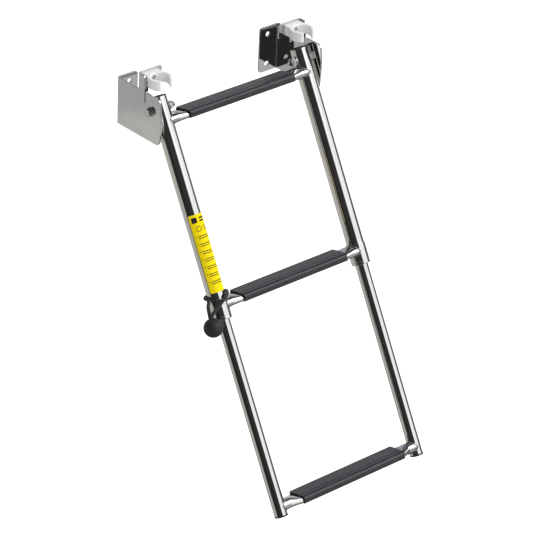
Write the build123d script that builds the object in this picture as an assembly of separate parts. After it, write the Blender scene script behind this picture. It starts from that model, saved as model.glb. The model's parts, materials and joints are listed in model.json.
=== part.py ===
from build123d import *
import math
import os

# Telescoping boat boarding ladder, in millimetres and degrees.
# Origin: centre of the four transom bolt holes, on the mounting plane.
# +X runs to the right along the rungs, +Y back into the transom, +Z up.

# Layout
TUBE_SPACING = 300.0
HINGE_Y = -85.0
HINGE_Z = 12.0
LEAN = 28.5
STOW_LEAN = 3.5
FACE_GAP = 0.02

# Side tubes, as distances along the tube above (+) and below (-) the hinge
UPPER_R = 15.0
UPPER_WALL = 1.5
UPPER_TOP = 18.5
UPPER_END = -350.0
LOWER_R = 11.0
LOWER_WALL = 1.5
LOWER_TOP = -308.0
LOWER_END = -684.5
RUNNING_GAP = 0.06

# Collars over the lower ends of the upper tubes
COLLAR_R = 16.0
COLLAR_TOP = -317.5
COLLAR_LIP = 2.2
COLLAR_LIP_BORE = 11.4

# Rungs: one inch tube pressed flat under the tread, oval at its ends
RUNG_HEIGHTS = {"top_rung": -20.0, "middle_rung": -327.0, "bottom_rung": -670.0}
RUNG_WALL = 1.5
RUNG_FLAT_HALF = 17.25
RUNG_FLAT_T = 12.0
RUNG_END_HALF = {"top_rung": 15.0, "middle_rung": 15.0, "bottom_rung": 11.0}
RUNG_END_T = 19.5
RUNG_FLAT_REACH = 112.5
RUNG_OVAL_REACH = 131.0
RUNG_TILT = 15.0

# Treads clipped over the flattened rungs
TREAD_LENGTH = 223.5
TREAD_FRONT = 21.0
TREAD_BACK = 18.4
TREAD_T = 2.4
TREAD_DROP = 13.2
TREAD_LIP = 3.0
TREAD_NOSE_R = 6.0
TREAD_RIB_H = 0.5
TREAD_RIB_PITCH = 2.6
TREAD_RIB_COUNT = 9
TREAD_CORNER_R = 3.0

# Brackets folded from sheet
SHEET = 3.0
BEND_R = 2.0
SIDE_X = 171.3
FLANGE_FREE_X = 129.5
PLATE_HALF_H = 41.0
PLATE_FRONT = -108.0
PLATE_BULGE = 4.0
PLATE_CORNER_R = 9.0
FLANGE_CORNER_R = 7.0
BOLT_HOLE_R = 4.25
BOLT_HOLE_X = 147.0
BOLT_HOLE_Z = 27.0
TONGUE_BACK = 32.7
TONGUE_FRONT = 14.5
TONGUE_TOP = 57.0
TONGUE_CORNER_R = 8.0
CLIP_PLATE_FREE_X = 124.0
CLIP_PLATE_LOW = 31.5
CLIP_TAB_FREE_X = 151.0
CLIP_TAB_LOW = 18.0
SLOT_WIDTH = 3.8
SLOT_BOTTOM = 9.0

# Nylon tube clips
CLIP_LOW = 38.0
CLIP_TOP = 55.0
CLIP_R = 20.3
CLIP_BORE = 15.08
CLIP_ARM_REACH = 11.0
CLIP_BASE_HALF = 16.2
CLIP_SCREW_H = 46.5
CLIP_COUNTERBORE_R = 4.6
CLIP_SCREW_R = 2.4
CLIP_SCREW_HEAD_R = 4.3
CLIP_SCREW_HEAD_T = 2.6

# Hinge fasteners, M8
BOLT_R = 4.0
BOLT_CLEAR_R = 4.1
BUSH_BORE = 4.05
BUSH_R = 5.0
SPACER_R = 7.5
WASHER_R = 8.0
WASHER_T = 1.6
NUT_FLATS = 13.0
NUT_H = 6.5
DOME_R = 5.8
HEAD_H = 5.3

# Safety label wrapped round the front of the left upper tube
LABEL_TOP = -177.0
LABEL_END = -306.5
LABEL_HALF_ANGLE = 65.5
LABEL_T = 0.25

# Shock cord tie on the left tube
CORD_R = 3.0
LOOP_HEIGHT = -312.0
BALL_R = 16.0
BALL_CENTRE = (-180.8, -11.1, -357.6)
CORD_START = (-171.6, -4.0, -318.3)
CORD_SPREAD = 3.15

HALF_SPACING = TUBE_SPACING / 2
UPPER_BORE = UPPER_R - UPPER_WALL
LOWER_BORE = LOWER_R - LOWER_WALL
SIDES = (-1, 1)


def on_ladder(shape):
    """Leans a shape built about the hinge axis and carries it out to the hinge."""
    return Pos(0, HINGE_Y, HINGE_Z) * Rot(-LEAN, 0, 0) * shape


def at_hinge(shape):
    """Carries an upright shape built about the hinge axis out to the hinge."""
    return Pos(0, HINGE_Y, HINGE_Z) * shape


def rod(radius, low, high):
    """Round bar along Z between two heights."""
    return Pos(0, 0, (low + high) / 2) * Cylinder(radius, high - low)


def pipe(outer, inner, low, high):
    """Round tube along Z between two heights."""
    return rod(outer, low, high) - rod(inner, low - 1, high + 1)


def along_x(shape):
    """Turns a shape built along +Z so that it runs along +X."""
    return Rot(0, 90, 0) * shape


def mirrored(shape):
    """The same shape on the other side of the ladder's middle plane."""
    return mirror(shape, about=Plane.YZ)


def on_side(shape, side):
    """A shape built for the right side, or its mirror image on the left."""
    return shape if side > 0 else mirrored(shape)


def both_sides(shape):
    """A right-hand shape and its left-hand mirror image, as separate solids."""
    return shape + mirrored(shape)


def hexagon_bar(flats, low, high, chamfer_size):
    """Hexagonal bar along Z with its top corners turned off at 30 degrees."""
    corner_r = flats / math.sqrt(3)
    bar = Pos(0, 0, low) * extrude(RegularPolygon(corner_r, 6), high - low)
    cone_top_r = flats / 2 - chamfer_size
    cone_base_r = cone_top_r + (high - low) / math.tan(math.radians(30))
    turned = Pos(0, 0, (low + high) / 2) * Cone(cone_base_r, cone_top_r, high - low)
    return bar & turned


def upper_tube(side):
    """Upper side tube with the hinge bush hole across it."""
    tube = pipe(UPPER_R, UPPER_BORE, UPPER_END, UPPER_TOP)
    cross_hole = along_x(rod(BUSH_R + FACE_GAP, -2 * UPPER_R, 2 * UPPER_R))
    return on_ladder(Pos(side * HALF_SPACING, 0, 0) * (tube - cross_hole))


def lower_tube(side):
    """Lower side tube, which slides up inside the upper one."""
    tube = pipe(LOWER_R, LOWER_BORE, LOWER_END, LOWER_TOP)
    return on_ladder(Pos(side * HALF_SPACING, 0, 0) * tube)


def collar(side):
    """Sleeve over the end of an upper tube, with a turned-in lip below it."""
    bottom = UPPER_END - COLLAR_LIP
    sleeve = rod(COLLAR_R, bottom, COLLAR_TOP)
    sleeve = chamfer(sleeve.edges().sort_by(Axis.Z)[-1], 0.5)
    sleeve = fillet(sleeve.edges().sort_by(Axis.Z)[0], 1.2)
    sleeve -= rod(UPPER_R + FACE_GAP, UPPER_END - FACE_GAP, COLLAR_TOP + 1)
    sleeve -= rod(COLLAR_LIP_BORE, bottom - 1, UPPER_END)
    return on_ladder(Pos(side * HALF_SPACING, 0, 0) * sleeve)


def guide_bushes():
    """Nylon sleeves in the ends of the upper tubes that guide the lower tubes."""
    top = LOWER_TOP - 0.2
    sleeve = pipe(UPPER_BORE - FACE_GAP, LOWER_R + RUNNING_GAP, UPPER_END + FACE_GAP, top)
    return on_ladder(both_sides(Pos(HALF_SPACING, 0, 0) * sleeve))


def slide_plugs():
    """Nylon plugs on top of the lower tubes that run in the upper bores."""
    head = rod(UPPER_BORE - RUNNING_GAP, LOWER_TOP + FACE_GAP, LOWER_TOP + 8)
    head = fillet(head.edges().sort_by(Axis.Z)[-1], 1.0)
    stem = rod(LOWER_BORE - FACE_GAP, LOWER_TOP - 15, LOWER_TOP + 1)
    return on_ladder(both_sides(Pos(HALF_SPACING, 0, 0) * (head + stem)))


def upper_tube_caps():
    """Black plugs in the open top ends of the upper tubes."""
    flange = rod(UPPER_R - 0.3, UPPER_TOP + FACE_GAP, UPPER_TOP + 1.8)
    flange = fillet(flange.edges().sort_by(Axis.Z)[-1], 1.0)
    stem = rod(UPPER_BORE - FACE_GAP, UPPER_TOP - 10, UPPER_TOP + 1)
    hollow = rod(UPPER_BORE - 2, UPPER_TOP - 11, UPPER_TOP - 1)
    return on_ladder(both_sides(Pos(HALF_SPACING, 0, 0) * (flange + stem - hollow)))


def foot_caps():
    """Black plugs in the bottom ends of the lower tubes."""
    flange = rod(LOWER_R + 0.5, LOWER_END - 2.5, LOWER_END - FACE_GAP)
    flange = fillet(flange.edges().sort_by(Axis.Z)[0], 1.6)
    stem = rod(LOWER_BORE - FACE_GAP, LOWER_END - 1, LOWER_END + 14)
    hollow = rod(LOWER_BORE - 2, LOWER_END + 1, LOWER_END + 15)
    return on_ladder(both_sides(Pos(HALF_SPACING, 0, 0) * (flange + stem - hollow)))


def rung_section(x, half_width, thickness):
    """Oval cross-section of a rung at a distance x along it."""
    plane = Plane(origin=(x, 0, 0), x_dir=(0, 1, 0), z_dir=(1, 0, 0))
    return plane * Ellipse(half_width, thickness / 2)


def flat_section(x, half_width, thickness):
    """Flattened cross-section of a rung, with round edges."""
    plane = Plane(origin=(x, 0, 0), x_dir=(0, 1, 0), z_dir=(1, 0, 0))
    return plane * SlotOverall(2 * half_width, thickness)


def rung_body(end_half, inset):
    """Outer skin of a rung, or its bore when inset by the wall."""
    flat = (RUNG_FLAT_HALF - inset, RUNG_FLAT_T - 2 * inset)
    oval = (end_half - inset, RUNG_END_T - 2 * inset)
    body = extrude(flat_section(-RUNG_FLAT_REACH, *flat), 2 * RUNG_FLAT_REACH, dir=(1, 0, 0))
    for side in SIDES:
        start = flat_section(side * RUNG_FLAT_REACH, *flat)
        end = rung_section(side * RUNG_OVAL_REACH, *oval)
        body += loft([start, end])
        body += extrude(end, HALF_SPACING - RUNG_OVAL_REACH, dir=(side, 0, 0))
    return body


def rung(name, side_tube_r):
    """Tubular rung, saddle cut at both ends to fit against the side tubes."""
    height = RUNG_HEIGHTS[name]
    end_half = RUNG_END_HALF[name]
    tube = rung_body(end_half, 0) - rung_body(end_half, RUNG_WALL)
    body = Pos(0, 0, height) * Rot(RUNG_TILT, 0, 0) * tube
    for side in SIDES:
        body -= Pos(side * HALF_SPACING, 0, 0) * rod(side_tube_r + FACE_GAP, height - 60, height + 60)
    return on_ladder(body)


def tread_profile():
    """Tread cross-section: X is forward, Y is up, origin at the rung's centre."""
    under = RUNG_FLAT_T / 2 + 0.1
    top = under + TREAD_T
    front = TREAD_FRONT
    inner = front - TREAD_T
    low = top - TREAD_DROP
    nose_in = TREAD_NOSE_R - TREAD_T
    outline = Polyline(
        (front, top - TREAD_NOSE_R),
        (front, low),
        (front - TREAD_LIP, low),
        (front - TREAD_LIP, low + 1.4),
        (inner, low + 2.4),
        (inner, under - nose_in),
    )
    outline += RadiusArc((inner, under - nose_in), (inner - nose_in, under), -nose_in)
    outline += Polyline(
        (inner - nose_in, under),
        (-TREAD_BACK + 1.6, under),
        (-TREAD_BACK + 1.6, under - 2.8),
        (-TREAD_BACK, under - 2.8),
        (-TREAD_BACK, top - 1.2),
        (-TREAD_BACK + 1.2, top),
        (front - TREAD_NOSE_R, top),
    )
    outline += RadiusArc((front - TREAD_NOSE_R, top), (front, top - TREAD_NOSE_R), TREAD_NOSE_R)
    section = make_face(outline)
    groove_u = -TREAD_BACK + 2.4 + TREAD_RIB_COUNT * TREAD_RIB_PITCH + 1.2
    section -= Pos(groove_u, top) * Rectangle(2.0, 1.4)
    for i in range(TREAD_RIB_COUNT):
        rib_u = -TREAD_BACK + 2.4 + (i + 0.5) * TREAD_RIB_PITCH
        section += Pos(rib_u, top + TREAD_RIB_H / 2 - 0.05) * Rectangle(
            TREAD_RIB_PITCH / 2, TREAD_RIB_H + 0.1
        )
    return section


def tread(rung_name):
    """Extruded plastic tread for one rung."""
    plane = Plane(origin=(TREAD_LENGTH / 2, 0, 0), x_dir=(0, -1, 0), z_dir=(-1, 0, 0))
    strip = extrude(plane * tread_profile(), TREAD_LENGTH)
    middle_y = (TREAD_BACK - TREAD_FRONT) / 2
    plan = RectangleRounded(TREAD_LENGTH, TREAD_BACK + TREAD_FRONT, TREAD_CORNER_R)
    strip &= Pos(0, middle_y, -20) * extrude(plan, 40)
    height = RUNG_HEIGHTS[rung_name]
    return on_ladder(Pos(0, 0, height) * Rot(RUNG_TILT, 0, 0) * strip)


def plate_outline():
    """Side silhouette of a bracket in Y and Z about the hinge axis."""
    back = -HINGE_Y
    top = PLATE_HALF_H - HINGE_Z
    bottom = -PLATE_HALF_H - HINGE_Z
    front = PLATE_FRONT - HINGE_Y
    outline = Polyline((front, bottom), (back, bottom), (back, top), (front, top))
    outline += ThreePointArc(
        (front, top), (front - PLATE_BULGE, (top + bottom) / 2), (front, bottom)
    )
    face = make_face(outline)
    corners = face.vertices().group_by(Axis.X)[0]
    return fillet(corners, PLATE_CORNER_R)


def folded_sheet(leg_back, leg_front, free_x, low, high):
    """Sheet folded to an L in plan: a side leg at |X| and a leg across at the back."""
    outer = SIDE_X
    points = [
        (outer, leg_front),
        (outer, leg_back),
        (free_x, leg_back),
        (free_x, leg_back - SHEET),
        (outer - SHEET, leg_back - SHEET),
        (outer - SHEET, leg_front),
    ]
    face = make_face(Polyline(*points, close=True))
    outer_corner = face.vertices().sort_by_distance((outer, leg_back))[0]
    face = fillet(outer_corner, BEND_R + SHEET)
    inner_corner = face.vertices().sort_by_distance((outer - SHEET, leg_back - SHEET))[0]
    face = fillet(inner_corner, BEND_R)
    return Pos(0, 0, low) * extrude(face, high - low)


def bracket(side):
    """Transom bracket with its bolting flange, hinge plate, tongue and clip plate."""
    top = PLATE_HALF_H - HINGE_Z
    bottom = -PLATE_HALF_H - HINGE_Z
    to_yz = Plane(origin=(0, 0, 0), x_dir=(0, 1, 0), z_dir=(1, 0, 0))
    body = folded_sheet(-HINGE_Y, PLATE_FRONT - HINGE_Y - PLATE_BULGE - 1, FLANGE_FREE_X, bottom, top)
    body &= extrude(to_yz * plate_outline(), 200, dir=(1, 0, 0))
    flange_plan = Pos(FLANGE_FREE_X + 100, (top + bottom) / 2) * RectangleRounded(
        200, 2 * PLATE_HALF_H, FLANGE_CORNER_R
    )
    to_xz = Plane(origin=(0, 0, 0), x_dir=(1, 0, 0), z_dir=(0, -1, 0))
    body &= extrude(to_xz * flange_plan, 200, both=True)

    tongue = folded_sheet(TONGUE_BACK, TONGUE_FRONT, CLIP_PLATE_FREE_X, SLOT_BOTTOM, TONGUE_TOP)
    for free_x, low in ((CLIP_TAB_FREE_X, CLIP_PLATE_LOW), (SIDE_X - SHEET - BEND_R, CLIP_TAB_LOW)):
        relief = Box(60, 20, 60, align=(Align.MAX, Align.CENTER, Align.MAX))
        tongue -= Pos(free_x, TONGUE_BACK, low) * relief
    trim = Pos(SIDE_X - SHEET / 2, TONGUE_FRONT, TONGUE_TOP)
    corner = Box(SHEET + 2, 2 * TONGUE_CORNER_R, 2 * TONGUE_CORNER_R)
    round_bar = Pos(0, TONGUE_CORNER_R, -TONGUE_CORNER_R) * along_x(
        rod(TONGUE_CORNER_R, -SHEET, SHEET)
    )
    tongue -= trim * (corner - round_bar)
    body += tongue

    slot_y = TONGUE_FRONT - SLOT_WIDTH / 2
    slot_round = SLOT_BOTTOM + SLOT_WIDTH / 2
    slot = Pos(SIDE_X - SHEET / 2, slot_y, slot_round + 50) * Box(SHEET + 2, SLOT_WIDTH, 100)
    slot += Pos(SIDE_X - SHEET / 2, slot_y, slot_round) * along_x(rod(SLOT_WIDTH / 2, -SHEET, SHEET))
    body -= slot
    body -= along_x(rod(BOLT_CLEAR_R, SIDE_X - 10, SIDE_X + 10))
    screw_hole = Pos(HALF_SPACING, 0, CLIP_SCREW_H) * Rot(90, 0, 0) * rod(CLIP_SCREW_R + 0.2, -40, -25)
    body -= screw_hole
    for z in (-BOLT_HOLE_Z, BOLT_HOLE_Z):
        hole = Pos(BOLT_HOLE_X, 0, z - HINGE_Z) * Rot(90, 0, 0) * rod(BOLT_HOLE_R, HINGE_Y - 20, HINGE_Y + 20)
        body -= hole
    return on_side(at_hinge(body), side)


def clip_plan():
    """Clip seen along its tube: base block, round bore and two open arms."""
    back = TONGUE_BACK - SHEET
    shape = Circle(CLIP_R) + Pos(0, back) * Rectangle(2 * CLIP_BASE_HALF, 2 * back)
    shape -= Circle(CLIP_BORE)
    shape -= Pos(0, -CLIP_R) * Rectangle(2 * CLIP_BORE, 2 * CLIP_R)
    shape -= Pos(0, -CLIP_ARM_REACH - CLIP_R) * Rectangle(4 * CLIP_R, 2 * CLIP_R)
    return shape


def tube_clip(side):
    """White nylon clip that grips the upper tube when the ladder is folded up."""
    middle = (CLIP_LOW + CLIP_TOP) / 2
    block = Pos(0, 0, CLIP_LOW - 5) * extrude(clip_plan(), CLIP_TOP - CLIP_LOW + 10)
    block = Rot(-STOW_LEAN, 0, 0) * block
    back = TONGUE_BACK - SHEET - FACE_GAP
    block &= Pos(0, back - 50, middle) * Box(100, 100, CLIP_TOP - CLIP_LOW)
    to_screw = Pos(0, 0, CLIP_SCREW_H) * Rot(90, 0, 0)
    block -= to_screw * rod(CLIP_SCREW_R + 0.2, -40, 0)
    block -= to_screw * rod(CLIP_COUNTERBORE_R, -back + 8, 0)
    return on_side(at_hinge(Pos(HALF_SPACING, 0, 0) * block), side)


def clip_screws():
    """Pan-head screws that hold the clips to the brackets."""
    seat = -(TONGUE_BACK - SHEET - 8) + FACE_GAP
    shank = rod(CLIP_SCREW_R, -TONGUE_BACK - 5.4, seat + 1)
    head = rod(CLIP_SCREW_HEAD_R, seat, seat + CLIP_SCREW_HEAD_T)
    head = fillet(head.edges().sort_by(Axis.Z)[-1], 1.2)
    cross = Box(5.0, 0.9, 2.4) + Box(0.9, 5.0, 2.4)
    screw = head + shank - Pos(0, 0, seat + CLIP_SCREW_HEAD_T) * cross
    placed = Pos(HALF_SPACING, 0, CLIP_SCREW_H) * Rot(90, 0, 0) * screw
    return at_hinge(both_sides(placed))


def clip_nuts():
    """Hexagon nuts behind the clip plates."""
    nut = hexagon_bar(8.0, TONGUE_BACK + FACE_GAP, TONGUE_BACK + 4.0, 0.4)
    nut -= rod(CLIP_SCREW_R + FACE_GAP, 0, 100)
    placed = Pos(HALF_SPACING, 0, CLIP_SCREW_H) * Rot(-90, 0, 0) * nut
    return at_hinge(both_sides(placed))


def hinge_bolts():
    """Hexagon head bolts, head outside, through bracket, bush and tube."""
    face = SIDE_X + WASHER_T + 2 * FACE_GAP
    head = hexagon_bar(NUT_FLATS, face, face + HEAD_H, 0.5)
    shank = rod(BOLT_R, HALF_SPACING - UPPER_R - 10, face + 1)
    return at_hinge(both_sides(along_x(head + shank)))


def outer_washers():
    """Plain washers under the bolt heads."""
    low = SIDE_X + FACE_GAP
    ring = pipe(WASHER_R, BOLT_CLEAR_R, low, low + WASHER_T)
    return at_hinge(both_sides(along_x(ring)))


def inner_washers():
    """Plain washers between the tubes and the acorn nuts."""
    high = HALF_SPACING - UPPER_R - 0.1
    ring = pipe(WASHER_R, BOLT_CLEAR_R, high - WASHER_T, high)
    return at_hinge(both_sides(along_x(ring)))


def acorn_nuts():
    """Domed nuts on the inner ends of the hinge bolts."""
    seat = HALF_SPACING - UPPER_R - 0.1 - WASHER_T - FACE_GAP
    base = seat - NUT_H
    hexagon = Rot(180, 0, 0) * hexagon_bar(NUT_FLATS, -seat, -base, 0.4)
    dome = Pos(0, 0, base + 0.6) * Sphere(DOME_R)
    dome &= Pos(0, 0, base - 10) * Cylinder(20, 22)
    bore = rod(BOLT_R + FACE_GAP, HALF_SPACING - UPPER_R - 10.1, seat + 1)
    return at_hinge(both_sides(along_x(hexagon + dome - bore)))


def hinge_bushes():
    """Nylon bushes in the tubes, each with a saddle that spaces the bracket off."""
    inner_face = HALF_SPACING - UPPER_R + 0.1
    outer_face = SIDE_X - SHEET - 0.1
    saddle = along_x(rod(SPACER_R, HALF_SPACING, outer_face))
    saddle -= Pos(HALF_SPACING, 0, 0) * rod(UPPER_R + FACE_GAP, -30, 30)
    bush = saddle + along_x(rod(BUSH_R, inner_face, outer_face))
    bush -= along_x(rod(BUSH_BORE, 0, 200))
    return on_ladder(both_sides(bush))


def label():
    """Thin label wrapped round the front of the left upper tube."""
    wrap = pipe(UPPER_R + FACE_GAP + LABEL_T, UPPER_R + FACE_GAP, LABEL_END, LABEL_TOP)
    reach = 4 * UPPER_R
    half = math.radians(LABEL_HALF_ANGLE)
    across = reach * math.sin(half)
    down = -reach * math.cos(half)
    wedge = make_face(Polyline((0, 0), (-across, down), (0, -reach), (across, down), close=True))
    wedge = Pos(0, 0, LABEL_END - 1) * extrude(wedge, LABEL_TOP - LABEL_END + 2)
    return on_ladder(Pos(-HALF_SPACING, 0, 0) * (wrap & wedge))


def tie_loop():
    """Loop of shock cord round the left upper tube, just above its collar."""
    ring = Torus(UPPER_R + CORD_R + 0.3, CORD_R)
    return on_ladder(Pos(-HALF_SPACING, 0, LOOP_HEIGHT) * ring)


def cord_plane():
    """Plane at the top of the hanging cords, looking up from the ball."""
    start = Vector(*CORD_START)
    return Plane(origin=start, x_dir=(0, 1, 0), z_dir=start - Vector(*BALL_CENTRE))


def cord_length():
    """Distance from the top of the hanging cords to the ball's centre."""
    return (Vector(*CORD_START) - Vector(*BALL_CENTRE)).length


def tie_strands():
    """Two short cords that hang from the loop and run into the ball."""
    length = cord_length() + BALL_R / 2
    strand = rod(CORD_R, -length, 0) + Sphere(CORD_R)
    pair = Pos(-CORD_SPREAD, 0, 0) * strand + Pos(CORD_SPREAD, 0, 0) * strand
    return on_ladder(cord_plane() * pair)


def tie_ball():
    """Moulded ball, bored to take the two cords."""
    bore_end = BALL_R / 2 + 0.2
    ball = Sphere(BALL_R)
    for side in SIDES:
        ball -= Pos(side * CORD_SPREAD, 0, 0) * rod(CORD_R + 0.05, -bore_end, BALL_R + 1)
    return on_ladder(cord_plane() * Pos(0, 0, -cord_length()) * ball)


def all_parts():
    """Every node's name and shape."""
    parts = {
        "bracket_left": bracket(-1),
        "bracket_right": bracket(1),
        "tube_clip_left": tube_clip(-1),
        "tube_clip_right": tube_clip(1),
        "clip_screws": clip_screws(),
        "clip_nuts": clip_nuts(),
        "hinge_bolts": hinge_bolts(),
        "outer_washers": outer_washers(),
        "inner_washers": inner_washers(),
        "acorn_nuts": acorn_nuts(),
        "hinge_bushes": hinge_bushes(),
        "upper_tube_left": upper_tube(-1),
        "upper_tube_right": upper_tube(1),
        "upper_tube_caps": upper_tube_caps(),
        "collar_left": collar(-1),
        "collar_right": collar(1),
        "guide_bushes": guide_bushes(),
        "top_rung": rung("top_rung", UPPER_R),
        "middle_rung": rung("middle_rung", COLLAR_R),
        "bottom_rung": rung("bottom_rung", LOWER_R),
        "lower_tube_left": lower_tube(-1),
        "lower_tube_right": lower_tube(1),
        "slide_plugs": slide_plugs(),
        "foot_caps": foot_caps(),
        "safety_label": label(),
        "tie_loop": tie_loop(),
        "tie_strands": tie_strands(),
        "tie_ball": tie_ball(),
    }
    for name in RUNG_HEIGHTS:
        parts[name.replace("rung", "tread")] = tread(name)
    return parts


os.makedirs("parts", exist_ok=True)
for node, shape in all_parts().items():
    export_step(shape, f"parts/{node}.step")
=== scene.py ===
import json
import math

import bmesh
import bpy
import numpy as np
from mathutils import Matrix, Vector
from mathutils.geometry import tessellate_polygon


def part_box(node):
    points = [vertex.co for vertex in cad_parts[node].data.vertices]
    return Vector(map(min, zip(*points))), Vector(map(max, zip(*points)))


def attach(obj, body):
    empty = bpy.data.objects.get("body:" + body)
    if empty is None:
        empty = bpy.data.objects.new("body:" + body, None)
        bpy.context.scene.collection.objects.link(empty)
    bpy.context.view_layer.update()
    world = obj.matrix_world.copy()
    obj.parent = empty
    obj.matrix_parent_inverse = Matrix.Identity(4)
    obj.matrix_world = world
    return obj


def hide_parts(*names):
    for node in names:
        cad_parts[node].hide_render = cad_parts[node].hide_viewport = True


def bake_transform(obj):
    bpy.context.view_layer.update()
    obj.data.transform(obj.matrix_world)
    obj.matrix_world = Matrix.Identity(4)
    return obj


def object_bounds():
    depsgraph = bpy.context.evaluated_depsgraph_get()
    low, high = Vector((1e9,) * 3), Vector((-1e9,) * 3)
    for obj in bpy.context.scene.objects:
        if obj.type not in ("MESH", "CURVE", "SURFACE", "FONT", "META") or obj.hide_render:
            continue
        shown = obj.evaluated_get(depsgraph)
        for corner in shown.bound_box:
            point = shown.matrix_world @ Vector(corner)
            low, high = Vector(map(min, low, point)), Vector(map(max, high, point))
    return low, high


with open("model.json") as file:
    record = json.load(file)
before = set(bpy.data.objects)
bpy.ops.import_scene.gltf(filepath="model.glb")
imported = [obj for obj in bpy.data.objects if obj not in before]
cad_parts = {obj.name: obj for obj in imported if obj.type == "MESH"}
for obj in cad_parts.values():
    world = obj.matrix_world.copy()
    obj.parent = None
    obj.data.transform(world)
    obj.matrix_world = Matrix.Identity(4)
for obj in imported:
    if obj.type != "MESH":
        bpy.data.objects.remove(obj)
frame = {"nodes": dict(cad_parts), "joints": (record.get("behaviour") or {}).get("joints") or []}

CAD_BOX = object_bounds()
SCENE = bpy.context.scene
MM = 0.001

# frames taken from the CAD

JOINTS = {j["name"]: j for j in frame["joints"]}
HINGE = Vector(JOINTS["frame_swing"]["pos_m"])
TUBE_AXIS = Vector(JOINTS["lower_slide"]["axis"]).normalized()
LEAN = math.atan2(TUBE_AXIS.y, TUBE_AXIS.z)
UPRIGHT = Matrix.Translation(HINGE)
LADDER = UPRIGHT @ Matrix.Rotation(-LEAN, 4, "X")
RUNG_TILT = math.radians(15.0)


def span(node, matrix=LADDER, right_only=False):
    """Lowest and highest corner of a CAD node in a local frame, in millimetres."""
    co = np.array([v.co for v in frame["nodes"][node].data.vertices])
    if right_only:
        co = co[co[:, 0] > 0]
    inv = np.array(matrix.inverted())
    local = (co @ inv[:3, :3].T + inv[:3, 3]) / MM
    return local.min(0).tolist(), local.max(0).tolist()


UP_LO, UP_HI = span("upper_tube_right")
LOW_LO, LOW_HI = span("lower_tube_right")
COL_LO, COL_HI = span("collar_right")
HALF = (UP_LO[0] + UP_HI[0]) / 2
UPPER_R = (UP_HI[0] - UP_LO[0]) / 2
LOWER_R = (LOW_HI[0] - LOW_LO[0]) / 2
COLLAR_R = (COL_HI[0] - COL_LO[0]) / 2
WALL = 1.5
FACE_GAP = 0.02  # left between parts that stand against each other
BUSH_HOLE_R = 5.05


def rung_height(name):
    """Height of a rung's centre along the ladder."""
    lo, hi = span(name + "_rung")
    return (lo[2] + hi[2]) / 2


def rung_frame(name):
    """Frame at a rung's centre, tilted with its tread."""
    at = Matrix.Translation((0, 0, rung_height(name) * MM))
    return LADDER @ at @ Matrix.Rotation(RUNG_TILT, 4, "X")


# mesh building


class Shape:
    """Vertices, faces and face-corner UVs, in millimetres."""

    def __init__(self):
        self.verts, self.faces, self.uvs = [], [], []

    def add(self, verts, faces, uvs):
        base = len(self.verts)
        self.verts.extend([tuple(map(float, v)) for v in verts])
        self.faces.extend([tuple(i + base for i in f) for f in faces])
        self.uvs.extend(uvs)
        return self

    def join(self, other):
        return self.add(other.verts, other.faces, other.uvs)

    def moved(self, change):
        """The same shape with change(points) applied to its points."""
        out = Shape()
        out.verts = [tuple(v) for v in change(np.array(self.verts, float)).tolist()]
        out.faces, out.uvs = list(self.faces), list(self.uvs)
        return out

    def shifted(self, x=0.0, y=0.0, z=0.0):
        return self.moved(lambda p: p + np.array((x, y, z)))

    def mirrored(self):
        out = self.moved(lambda p: p * np.array((-1.0, 1.0, 1.0)))
        out.faces = [tuple(reversed(f)) for f in out.faces]
        out.uvs = [list(reversed(u)) for u in out.uvs]
        return out

    def both(self):
        return Shape().join(self).join(self.mirrored())


def along_x(p):
    """Turns points built along +Z to run along +X."""
    return np.c_[p[:, 2], p[:, 1], -p[:, 0]]


def along_y(p):
    """Turns points built along +Z to run along +Y."""
    return np.c_[p[:, 0], p[:, 2], -p[:, 1]]


def grid(rings, wrap_rings=False, wrap_points=True):
    """Quads over a stack of rings of points, with UVs in metres along both ways."""
    rings = np.asarray(rings, float)
    n, m = rings.shape[:2]
    step_v = np.linalg.norm(np.diff(rings, axis=0, append=rings[:1]), axis=2).mean(1)
    step_u = np.linalg.norm(np.diff(rings, axis=1, append=rings[:, :1]), axis=2).max(0)
    v, u = (np.concatenate(([0.0], np.cumsum(step))) * MM for step in (step_v, step_u))
    faces, uvs = [], []
    for i in range(n if wrap_rings else n - 1):
        for j in range(m if wrap_points else m - 1):
            i2, j2 = (i + 1) % n, (j + 1) % m
            faces.append((i * m + j, i * m + j2, i2 * m + j2, i2 * m + j))
            uvs.append([(u[j], v[i]), (u[j + 1], v[i]), (u[j + 1], v[i + 1]), (u[j], v[i + 1])])
    return Shape().add(rings.reshape(-1, 3), faces, uvs)


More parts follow.
